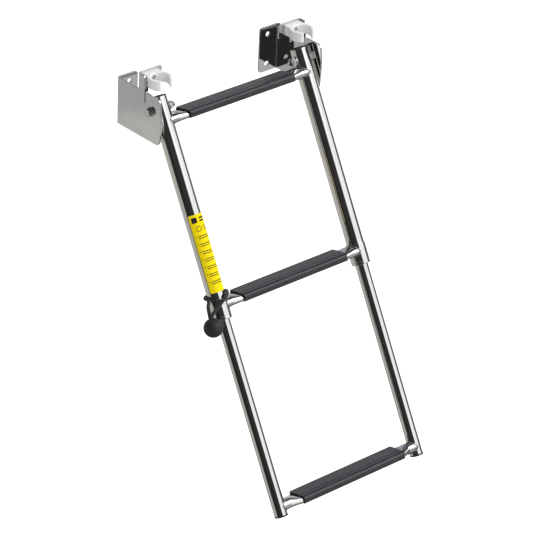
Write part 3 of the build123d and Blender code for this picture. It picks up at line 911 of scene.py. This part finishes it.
def build_clips():
    block = slab(clip_outline(), [], edge_levels(CLIP_LO[2], CLIP_HI[2], 0.9, 4, 0.3))
    cuts = [(1, y) for y in (20.5, 22.5, 24.5, 26.5)]
    for side, name in SIDES:
        at = UPRIGHT @ Matrix.Translation((side * HALF * MM, 0, 0))
        piece = make("clip_" + name + "_moulding", block, at, "brackets", "white_nylon",
                     ["tube_clip_" + name], cuts=cuts, warp=lean_clip, sharp=45)
        for radius, end in ((HEAD_HOLE_R, HEAD_SEAT), (SCREW_HOLE_R, CLIP_BACK + 4)):
            carve(piece, rod(radius, 0, end).moved(along_y).shifted(z=SCREW_H), at, 45)
    screws = fastener("clip_screw_bodies", screw_shape().shifted(x=HALF, z=SCREW_H), "clip_screws")
    for side, name in SIDES:
        for wide, tall in ((2.6, 0.5), (0.5, 2.6)):
            box = slab([c[:2] for c in rectangle(-wide, -tall, wide, tall)], [], [(0, -1.6), (0, 1.6)])
            box = box.moved(lambda p: np.c_[p[:, 0], p[:, 2], p[:, 1]])
            carve(screws, box.shifted(side * HALF, HEAD_SEAT - 2.6, SCREW_H), UPRIGHT)


# hexagon hardware


HEX_FLATS = 13.0
HEX_TOP_R = 6.0


def hex_rings(low, high, flats=HEX_FLATS, top_r=HEX_TOP_R):
    """Rings up the side of a hexagon and over its 30 degree chamfer."""
    angles = np.arange(96) * 2 * math.pi / 96
    r = flats / 2 / np.cos(angles % (math.pi / 3) - math.pi / 6)
    brow = high - (r - top_r) * math.tan(math.radians(30))
    ring = np.c_[np.cos(angles), np.sin(angles)]
    side = r[:, None]
    steps = ((top_r - 0.3, low), (side * 0.985, low), (side, low + 0.12), (side, brow), (top_r, high))
    return [np.c_[ring * radius, np.broadcast_to(height, 96)] for radius, height in steps]


def fastener(name, shape, node, sharp=38.0):
    """A fastener and its mirror image, in place of a CAD node."""
    return make(name, shape.both(), UPRIGHT, "brackets", "steel_fastener", [node], sharp=sharp)


def washer(name, node):
    lo, hi = span(node, UPRIGHT, right_only=True)
    fastener(name, sleeve(8.0, 4.1, lo[0], hi[0], 0.3).moved(along_x), node)


def build_hardware():
    lo, hi = span("hinge_bolts", UPRIGHT, right_only=True)
    tip, top = lo[0], hi[0]
    face = span("outer_washers", UPRIGHT, right_only=True)[1][0] + FACE_GAP
    rings = turned_rings([(0, tip), (3.4, tip), (4.0, tip + 0.6), (4.0, face)])
    rings += hex_rings(face, top)
    rings += turned_rings([(5.4, top), (5.2, top - 0.25), (4.6, top - 0.25), (4.4, top), (0, top)])
    fastener("hinge_bolt_bodies", grid(rings).moved(along_x), "hinge_bolts", 24)
    washer("outer_washer_rings", "outer_washers")
    washer("inner_washer_rings", "inner_washers")
    lo, hi = span("acorn_nuts", UPRIGHT, right_only=True)
    seat = hi[0]
    bore, depth = 4.02, seat - tip + 0.1
    rings = turned_rings([(0, depth), (bore, depth), (bore, 0.0)])
    rings += hex_rings(0.0, 6.5)
    dome_r = 5.8
    dome_c = seat - lo[0] - dome_r
    rings += turned_rings([(5.9, 6.6), (5.55, 6.9)])
    start = math.asin((7.1 - dome_c) / dome_r)
    rings += turned_rings([(dome_r * math.cos(a), dome_c + dome_r * math.sin(a))
                           for a in np.linspace(start, math.pi / 2, 16)])
    nut = grid(rings).moved(lambda p: np.c_[seat - p[:, 2], p[:, 1], p[:, 0]])
    fastener("acorn_nut_bodies", nut, "acorn_nuts", 24)
    lo, hi = span("clip_nuts", UPRIGHT, right_only=True)
    tall = hi[1] - lo[1]
    rings = turned_rings([(2.42, tall - 0.2), (2.42, 0.0)]) + hex_rings(0.0, tall, 8.0, 3.6)
    rings += turned_rings([(2.8, tall)])
    small = grid(rings, wrap_rings=True).moved(along_y).shifted(x=HALF, y=lo[1], z=SCREW_H)
    fastener("clip_nut_bodies", small, "clip_nuts", 24)


def build_nylon_parts():
    """Hinge bushes with their saddles, guide bushes in the upper tubes and plugs on the lower tubes."""
    lo, hi = span("hinge_bushes", right_only=True)
    near, far, saddle_r = lo[0], hi[0], hi[2]
    bush = sleeve(5.0, 4.05, near, far, 0.2).moved(along_x)
    corners = [(4.6, HALF + 8, 0), (saddle_r, HALF + 8, 0), (saddle_r, far, 0.5), (4.6, far - 0.03, 0)]
    saddle = turned(corners, 64, True).moved(along_x)
    bushes = make("hinge_bush_sleeves", saddle.both(), LADDER, "upper_frame", "natural_nylon",
                  ["hinge_bushes"], sharp=45)
    tube = rod(UPPER_R + FACE_GAP, -30, 30, 128).shifted(x=HALF)
    carve(bushes, tube.both(), LADDER, 45)
    carve(bushes, bush.both(), LADDER, 45, "UNION")

    lo, hi = span("guide_bushes", right_only=True)
    outer, low, high = hi[0] - HALF, lo[2], hi[2]
    inner = LOWER_R + 0.06
    corners = [(outer, low, 0.3), (outer, high, 0.6), (inner, high, 0.4), (inner, low, 0.3)]
    guide = turned(corners, 96, True).shifted(x=HALF)
    make("guide_bush_sleeves", guide.both(), LADDER, "upper_frame", "natural_nylon", ["guide_bushes"])

    lo, hi = span("slide_plugs", right_only=True)
    outer, low, high = hi[0] - HALF, lo[2], hi[2]
    seat = LOW_HI[2] + FACE_GAP
    stem = LOWER_R - WALL - FACE_GAP
    corners = [
        (0, low, 0), (stem, low, 0.6), (stem, seat, 0.05),
        (outer, seat, 0.2), (outer, high, 1.0), (0, high, 0),
    ]
    plug = turned(corners, 96).shifted(x=HALF)
    make("slide_plug_bodies", plug.both(), LADDER, "lower_frame", "natural_nylon", ["slide_plugs"])


# label

LABEL_R = UPPER_R + FACE_GAP
INK_LEVELS = [(0, 0.262), (0, 0.285)]


def wrap_label(points):
    """Wraps flat label points (across, along, out) round the front of the left tube."""
    angle = -math.pi / 2 + points[:, 0] / UPPER_R
    r = LABEL_R + points[:, 2]
    return np.c_[-HALF + r * np.cos(angle), r * np.sin(angle), points[:, 1]]


def bar(x, y, wide, tall, r=0.4):
    """Printed bar with rounded corners, centred at x, y."""
    corners = rectangle(x - wide / 2, y - tall / 2, x + wide / 2, y + tall / 2, r)
    return slab(rounded(corners, steps=3), [], INK_LEVELS)


def dot(x, y, r, hole=0.0):
    """Printed disc or ring."""
    holes = [circle(x, y, hole, 40)] if hole else []
    return slab(circle(x, y, r, 40)[::-1], holes, INK_LEVELS)


def build_label():
    (_, _, low), (_, _, high) = span("safety_label")
    half = UPPER_R * math.radians(65.5)
    corners = rectangle(-half, low, half, high, 2.0)
    sheet = slab(rounded(corners, steps=5), [], [(0.1, 0.0), (0.0, 0.05), (0.0, 0.2), (0.08, 0.25)])
    wrapped = dict(cuts=[(0, x) for x in np.arange(-16.5, 17, 1.1)], warp=wrap_label, sharp=50)
    make("label_sheet", sheet, LADDER, "upper_frame", "label_film", ["safety_label"], **wrapped)
    ink = Shape()
    y = high - 9.0
    ink.join(bar(-9.0, y, 9.0, 9.0, 1.5))
    for i, wide in enumerate((14.0, 11.0)):
        ink.join(bar(6.5 - (14.0 - wide) / 2, y + 2.4 - 4.8 * i, wide, 2.6))
    ink.join(dot(-5.0, y - 14.5, 4.6, 3.5))
    for i in range(3):
        ink.join(bar(6.5, y - 11.3 - 3.2 * i, 9.0 - i, 1.2, 0.3))
    y -= 28.0
    for i in range(7):
        ink.join(dot(-13.0, y + 1.6, 0.9))
        for j, wide in enumerate((23.0 - 3.0 * (i % 3), 17.0 + 4.0 * ((i + 1) % 2))):
            ink.join(bar(-10.0 + wide / 2, y + 1.6 - 3.4 * j, wide, 1.3, 0.3))
        y -= 12.6
    make("label_print", ink, LADDER, "upper_frame", "label_film", material=LABEL_INK, **wrapped)


# shock cord and ball

CORD_R = 3.0
BALL_LO, BALL_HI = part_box("tie_ball")
BALL = LADDER.inverted() @ ((BALL_LO + BALL_HI) / 2) / MM
BALL_R = float((BALL_HI - BALL_LO).x) / 2 / MM
PIVOT = LADDER.inverted() @ Vector(JOINTS["tie_swing"]["pos_m"]) / MM


def smooth_path(points, count):
    """Closed Catmull-Rom curve through the points, evenly spaced."""
    p = np.array(points, float)
    n = len(p)
    out = []
    for i in range(n):
        a, b, c, d = p[i - 1], p[i], p[(i + 1) % n], p[(i + 2) % n]
        for t in np.linspace(0, 1, 40, endpoint=False):
            out.append(0.5 * (2 * b + (c - a) * t + (2 * a - 5 * b + 4 * c - d) * t ** 2
                              + (3 * b - 3 * c + d - a) * t ** 3))
    return even_loop(np.array(out), count)


def braid(path, radius, around=28, plaits=8):
    """Braided cord swept along a closed path: crossing yarns lift the skin in diamonds."""
    n = len(path)
    ahead = unit_rows(np.roll(path, -1, 0) - np.roll(path, 1, 0))
    side = np.cross(ahead[0], (0.0, 1.0, 0.0))
    side /= np.linalg.norm(side)
    frames = []
    for i in range(n):
        side = side - (side @ ahead[i]) * ahead[i]
        side /= np.linalg.norm(side)
        frames.append((side.copy(), np.cross(ahead[i], side)))
    last = frames[-1][0] - (frames[-1][0] @ ahead[0]) * ahead[0]
    twist = math.atan2(last @ frames[0][1], last @ frames[0][0])
    turns = round(np.linalg.norm(path - np.roll(path, 1, 0), axis=1).sum() / 9.0)
    rings = []
    for i in range(n):
        s, t = frames[i]
        untwist = -twist * i / n
        angles = np.linspace(0, 2 * math.pi, around, endpoint=False)
        phase = 2 * math.pi * turns * i / n
        lift = np.maximum(np.abs(np.sin((plaits * angles + plaits * phase) / 2)),
                          np.abs(np.sin((plaits * angles - plaits * phase) / 2)))
        r = radius * (0.93 + 0.07 * lift)
        a = angles + untwist
        rings.append(path[i] + r[:, None] * (np.cos(a)[:, None] * s + np.sin(a)[:, None] * t))
    return grid(rings, wrap_rings=True)


def build_tie():
    bx, by, bz = BALL
    low, high = span("tie_loop")
    loop_z = (low[2] + high[2]) / 2
    r = UPPER_R + CORD_R + 0.35
    cr = COLLAR_R + CORD_R + 0.35

    points = [(bx + 1.6, by + 1.6, bz + 9.0), (bx + 3.2, by - 0.5, bz + 18.0)]
    for angle, radius, lift in (
        (-138, cr + 3.0, -18.5), (-112, cr, -12.0), (-80, cr, -5.5), (-50, cr - 0.4, -0.5), (-15, r, 2.0),
        (25, r, 2.2), (70, r, 1.6), (115, r, 0.8), (155, r, -0.4), (188, r + 0.8, -3.5),
    ):
        points += [(*p, loop_z + lift) for p in arc(-HALF, 0, radius, angle, angle, 0)]
    points += [
        (PIVOT.x - 3.2, PIVOT.y - 0.5, PIVOT.z - 7.5), (bx + 1.8, by + 3.2, bz + 18.0),
        (bx - 1.4, by - 1.4, bz + 9.0), (bx, by, bz + 4.5),
    ]
    cord = make("tie_cord", braid(smooth_path(points, 760), CORD_R), LADDER, None, "shock_cord",
                ["tie_loop", "tie_strands"], sharp=70)
    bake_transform(cord)

    axis = (PIVOT - BALL).normalized()
    turn = Vector((0, 0, 1)).rotation_difference(axis).to_matrix().to_4x4()
    at = LADDER @ Matrix.Translation(BALL * MM) @ turn
    mouth = 6.6
    profile = [(0, 7.6), (mouth - 1.4, 7.6), (mouth - 0.6, 7.9), (mouth, 9.0)]
    profile += [(mouth, 12.6), (mouth + 0.15, 13.4), (mouth + 0.7, 14.15)]
    start_angle = math.degrees(math.acos((mouth + 1.3) / BALL_R))
    profile += arc(0, 0, BALL_R, start_angle, 2.2, 29)
    seam = ((0.02, 0.42), (0.10, 0.22), (0.10, -0.22), (0.02, -0.42))
    profile += [(BALL_R + proud, h) for proud, h in seam]
    profile += arc(0, 0, BALL_R, -2.2, -80, 35)
    dip = BALL_R * math.sin(math.radians(80))
    profile += [(2.3, -dip - 0.12), (1.9, -dip + 0.25), (0, -dip + 0.3)]
    make("tie_ball_moulding", lathe(profile, 96), at, "tie", "ball_plastic", ["tie_ball"], sharp=60)


# studio

CAMERA_PLACE = Vector((-3.20099, -3.70543, 2.37628))
CAMERA_RIGHT = Vector((0.75327905, -0.65661905, 0.03771056))
CAMERA_UP = Vector((0.29592167, 0.38957328, 0.87215997))
LIGHT_TARGET = Vector((0, -0.2, -0.2))


def build_camera():
    data = bpy.data.cameras.new("camera")
    camera = add_object("camera", data)
    back = CAMERA_RIGHT.cross(CAMERA_UP)
    camera.matrix_world = Matrix([*zip(CAMERA_RIGHT, CAMERA_UP, back, CAMERA_PLACE), (0, 0, 0, 1)])
    data.sensor_width = 36.0
    data.lens = 224.974
    data.clip_end = 60.0
    SCENE.camera = camera


TINTS = {"n": (1, 1, 1), "w": (1, 0.97, 0.905), "c": (0.96, 0.98, 1.0), "b": (0.88, 0.95, 1.08)}


def build_world():
    """White to the camera, soft light for matt surfaces, and soft boxes for reflections."""
    world = bpy.data.worlds.new("studio")
    SCENE.world = world
    world.use_nodes = True
    n = Nodes(world.node_tree)
    world.node_tree.nodes.clear()
    ahead = CAMERA_RIGHT.cross(CAMERA_UP)
    level = Vector((ahead.x, ahead.y, 0)).normalized()
    right = Vector((-level.y, level.x, 0))
    direction = n.new("ShaderNodeTexCoord").outputs["Generated"]

    def along(vector):
        node = n.new("ShaderNodeVectorMath", operation="DOT_PRODUCT")
        n.link(direction, node.inputs[0])
        n.put(vector, node.inputs[1])
        return node.outputs["Value"]

    turn = n.math("ARCTAN2", along(right), along(level))
    place = n.math("MULTIPLY_ADD", turn, 1 / (2 * math.pi), 0.5)
    height = along((0, 0, 1))

    def around(rows):
        """Ramp round the horizon from (degrees right of the camera, grey, tint) rows."""
        return n.ramp(place, [((a + 180) / 360, tuple(g * t for t in TINTS[k])) for a, g, k in rows])

    walls = around([
        (-180, 0.62, "n"), (-150, 0.52, "w"), (-62, 0.47, "w"), (-54, 0.025, "n"), (33, 0.022, "n"),
        (38, 1.00, "c"), (62, 0.95, "n"), (80, 0.36, "b"), (98, 0.30, "b"), (103, 0.08, "n"),
        (133, 0.08, "n"), (141, 0.80, "n"), (180, 0.70, "n"),
    ])
    skirting = around([
        (-180, 0.62, "n"), (-150, 0.44, "n"), (-62, 0.42, "n"), (-50, 0.03, "n"), (34, 0.03, "n"),
        (60, 0.50, "n"), (110, 0.52, "n"), (180, 0.66, "n"),
    ])
    ground = around([
        (-180, 0.66, "n"), (-120, 0.56, "w"), (-60, 0.54, "w"), (0, 0.26, "w"), (60, 0.54, "w"),
        (120, 0.54, "w"), (180, 0.66, "n"),
    ])
    behind = [
        (-180, 0.42, "b"), (-150, 0.36, "b"), (-105, 0.04, "n"), (160, 0.04, "n"), (170, 0.40, "b"),
        (180, 0.42, "b"),
    ]
    above = around(behind + [(34, 0.035, "n"), (39, 1.10, "c"), (122, 1.10, "c"), (128, 0.035, "n")])
    overhead = around(behind + [(36, 0.05, "n"), (54, 2.3, "c"), (112, 2.3, "c"), (126, 0.05, "n")])
    mixed = (0.24, 0.235, 0.225)
    for low, high, layer in (
        (-0.62, -0.54, ground), (-0.4492, -0.4474, skirting), (-0.40, -0.37, walls),
        (0.10, 0.17, above), (0.36, 0.46, overhead), (0.86, 0.96, (0.33, 0.35, 0.40)),
    ):
        mixed = n.mix(n.range(height, low, high, 0, 1), mixed, layer)
    path = n.new("ShaderNodeLightPath")
    sky = n.math("MULTIPLY_ADD", along(right), 0.25, n.range(height, -0.1, 0.9, 0.36, 0.46))
    sky = n.math("MULTIPLY_ADD", along(level), 0.10, sky)
    soft = n.mix(sky, (0, 0, 0), (2.0, 2.0, 2.0))
    seen = n.mix(path.outputs["Is Glossy Ray"], soft, mixed)
    seen = n.mix(path.outputs["Is Camera Ray"], seen, (1.0, 1.0, 1.0))
    background = n.new("ShaderNodeBackground")
    n.fill(background, Color=seen, Strength=1.0)
    output = n.new("ShaderNodeOutputWorld")
    n.link(background.outputs[0], output.inputs["Surface"])
    world.cycles.sampling_method = "NONE"


def soft_light(name, place, size, power):
    """Round area light aimed at the middle of the ladder."""
    data = bpy.data.lights.new(name, "AREA")
    data.shape = "DISK"
    data.size = size
    data.energy = power
    light = add_object(name, data)
    light.location = place
    light.rotation_euler = (LIGHT_TARGET - Vector(place)).to_track_quat("-Z", "Y").to_euler()
    light.visible_glossy = False


def build_floor():
    material, n, fill = surface("pale_floor")
    grain = n.noise(n.coords("Object"), 3.0, 3.0)
    fill("Base Color", n.mix(grain, (0.44, 0.44, 0.44), (0.48, 0.48, 0.48)))
    fill("Normal", n.bump(n.noise(n.coords("Object"), 300.0), 0.0001, 0.2))
    fill("Roughness", 0.9)
    fill("Emission Color", (1, 1, 1, 1))
    seen = n.new("ShaderNodeLightPath").outputs["Is Camera Ray"]
    fill("Emission Strength", seen)
    foot = CAD_BOX[0] - HINGE
    level = (HINGE.z - math.hypot(foot.y, foot.z)) / MM - 15.0
    ticks = np.linspace(-14000.0, 14000.0, 9)
    rows = [[(x, y, level) for x in ticks] for y in ticks]
    floor = make("floor", grid(rows, wrap_points=False), Matrix.Identity(4), material=material)
    floor.visible_glossy = False


build_side_tubes()
build_caps()
build_rungs()
build_treads()
build_brackets()
build_clips()
build_hardware()
build_label()
build_tie()
build_nylon_parts()
build_floor()
soft_light("key_light", (1.9, -2.4, 0.7), 1.5, 34)
soft_light("fill_light", (-2.8, -1.2, 1.6), 2.0, 1)
build_world()
build_camera()
SCENE.view_settings.view_transform = "Standard"
